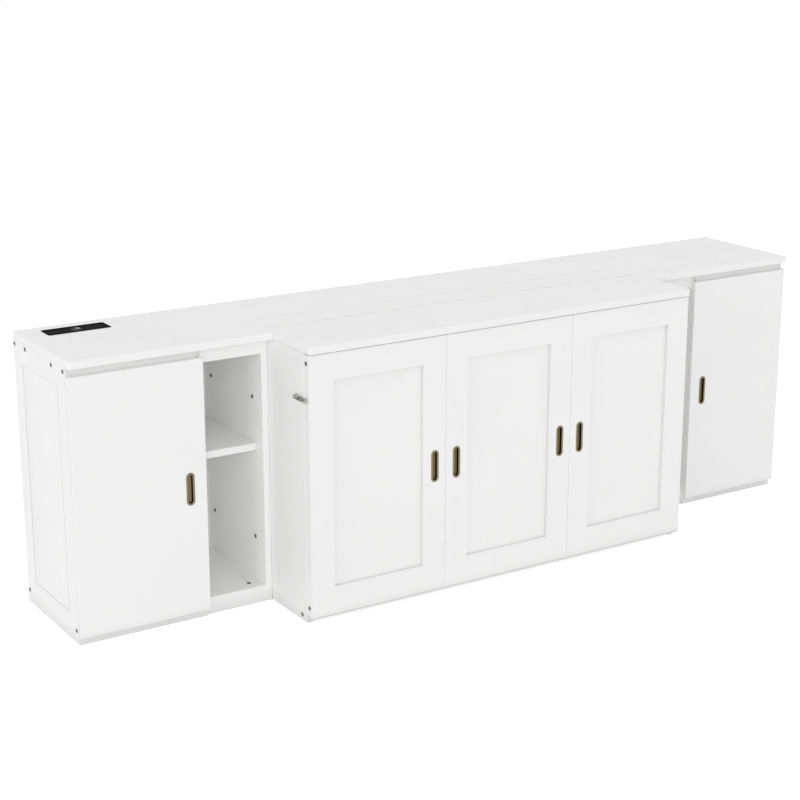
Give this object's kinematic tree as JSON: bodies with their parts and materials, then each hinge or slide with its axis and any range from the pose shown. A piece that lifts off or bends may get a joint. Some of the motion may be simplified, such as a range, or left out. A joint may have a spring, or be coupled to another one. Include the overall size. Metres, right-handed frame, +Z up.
{
  "type": "wall bed",
  "caption": "Long white cabinet bed: a framed front panel folds down with a slatted foot section, a lid flips back, and side cupboards have hinged doors.",
  "frame": {"origin": "centre of the cabinet's footprint, on the floor", "axes": "+X along the wall to the right seen from the front, +Y towards the wall, +Z up"},
  "size_m": [3.156, 0.756, 1.0019],
  "materials": {
    "white_painted_board": "satin white paint on board",
    "pine": "planed pine, clear sealed",
    "hinge_steel": "zinc plated",
    "white_hinge": "white powder coat",
    "nickel": "polished nickel",
    "dark_bolt": "blackened steel",
    "antique_brass": "antique brass, satin",
    "pin_steel": "plain steel",
    "black_plastic": "fine texture",
    "charcoal_plastic": "satin",
    "grey_plastic": "satin",
    "rubber": "matt"
  },
  "bodies": {
    "cabinet": {"chest_sides": "white_painted_board", "chest_back": "white_painted_board", "wall_rail": "white_painted_board", "chest_rear_top": "white_painted_board", "lid_rail": "white_painted_board", "lid_rail_apron": "white_painted_board", "floor_rail": "white_painted_board", "head_bearers": "pine", "head_slats": "pine", "lid_hinge_fixed_leaf": "white_hinge", "panel_hinge_fixed_arms": "white_hinge", "latch_bases": "nickel", "carcass_bolts": "dark_bolt", "shelves": "white_painted_board", "shelf_pins": "pin_steel", "door_pivot_arms": "white_hinge", "power_housing": "black_plastic", "power_face": "charcoal_plastic", "power_ports": "grey_plastic", "left_end_frame": "white_painted_board", "left_end_panel": "white_painted_board", "left_inner_side": "white_painted_board", "left_partition": "white_painted_board", "left_floor_board": "white_painted_board", "left_rails": "white_painted_board", "left_back": "white_painted_board", "left_top": "white_painted_board", "right_end_frame": "white_painted_board", "right_end_panel": "white_painted_board", "right_inner_side": "white_painted_board", "right_partition": "white_painted_board", "right_floor_board": "white_painted_board", "right_rails": "white_painted_board", "right_back": "white_painted_board", "right_top": "white_painted_board"},
    "front_panel": {"front_outer_stiles": "white_painted_board", "front_inner_stiles": "white_painted_board", "front_rails": "white_painted_board", "front_infill_boards": "white_painted_board", "front_slats": "pine", "front_pulls": "antique_brass", "front_edge_bolts": "dark_bolt", "latch_studs": "nickel", "panel_hinge_moving_arms": "white_hinge", "foot_hinge_panel_leaves": "hinge_steel"},
    "foot_section": {"foot_slats": "pine", "foot_bearers": "pine", "foot_pads": "rubber", "foot_hinge_foot_leaves": "hinge_steel"},
    "lid_assembly": {"lid": "white_painted_board", "lid_hinge_moving_leaf": "white_hinge"},
    "left_door_assembly": {"left_door": "white_painted_board", "left_door_pull": "antique_brass", "left_door_leaves": "hinge_steel"},
    "right_door_assembly": {"right_door": "white_painted_board", "right_door_pull": "antique_brass", "right_door_leaves": "hinge_steel"},
    "left_latch": {"left_latch_hook": "nickel"},
    "right_latch": {"right_latch_hook": "nickel"}
  },
  "joints": [
    {"name": "front_panel_fold", "type": "hinge", "parent": "cabinet", "child": "front_panel", "pos_m": [0, -0.353, 0.019], "axis": [1, 0, 0], "range_deg": [0, 90]},
    {"name": "foot_section_fold", "type": "hinge", "parent": "front_panel", "child": "foot_section", "pos_m": [0, -0.318, 0.959], "axis": [1, 0, 0], "range_deg": [0, 180]},
    {"name": "lid_flip", "type": "hinge", "parent": "cabinet", "child": "lid_assembly", "pos_m": [0, -0.056, 1.0004], "axis": [-1, 0, 0], "range_deg": [0, 180]},
    {"name": "left_door_swing", "type": "hinge", "parent": "cabinet", "child": "left_door_assembly", "pos_m": [-1.569, -0.106, 0.487], "axis": [0, 0, -1], "range_deg": [0, 100]},
    {"name": "right_door_swing", "type": "hinge", "parent": "cabinet", "child": "right_door_assembly", "pos_m": [1.569, -0.106, 0.487], "axis": [0, 0, 1], "range_deg": [0, 100]},
    {"name": "left_latch_lift", "type": "hinge", "parent": "cabinet", "child": "left_latch", "pos_m": [-0.835, -0.287, 0.812], "axis": [-1, 0, 0], "range_deg": [0, 180]},
    {"name": "right_latch_lift", "type": "hinge", "parent": "cabinet", "child": "right_latch", "pos_m": [0.835, -0.287, 0.812], "axis": [-1, 0, 0], "range_deg": [0, 180]}
  ],
  "couplings": [
    {"joint": "foot_section_fold", "follows": "front_panel_fold", "ratio": 2},
    {"joint": "left_latch_lift", "follows": "front_panel_fold", "ratio": 2},
    {"joint": "right_latch_lift", "follows": "front_panel_fold", "ratio": 2}
  ]
}
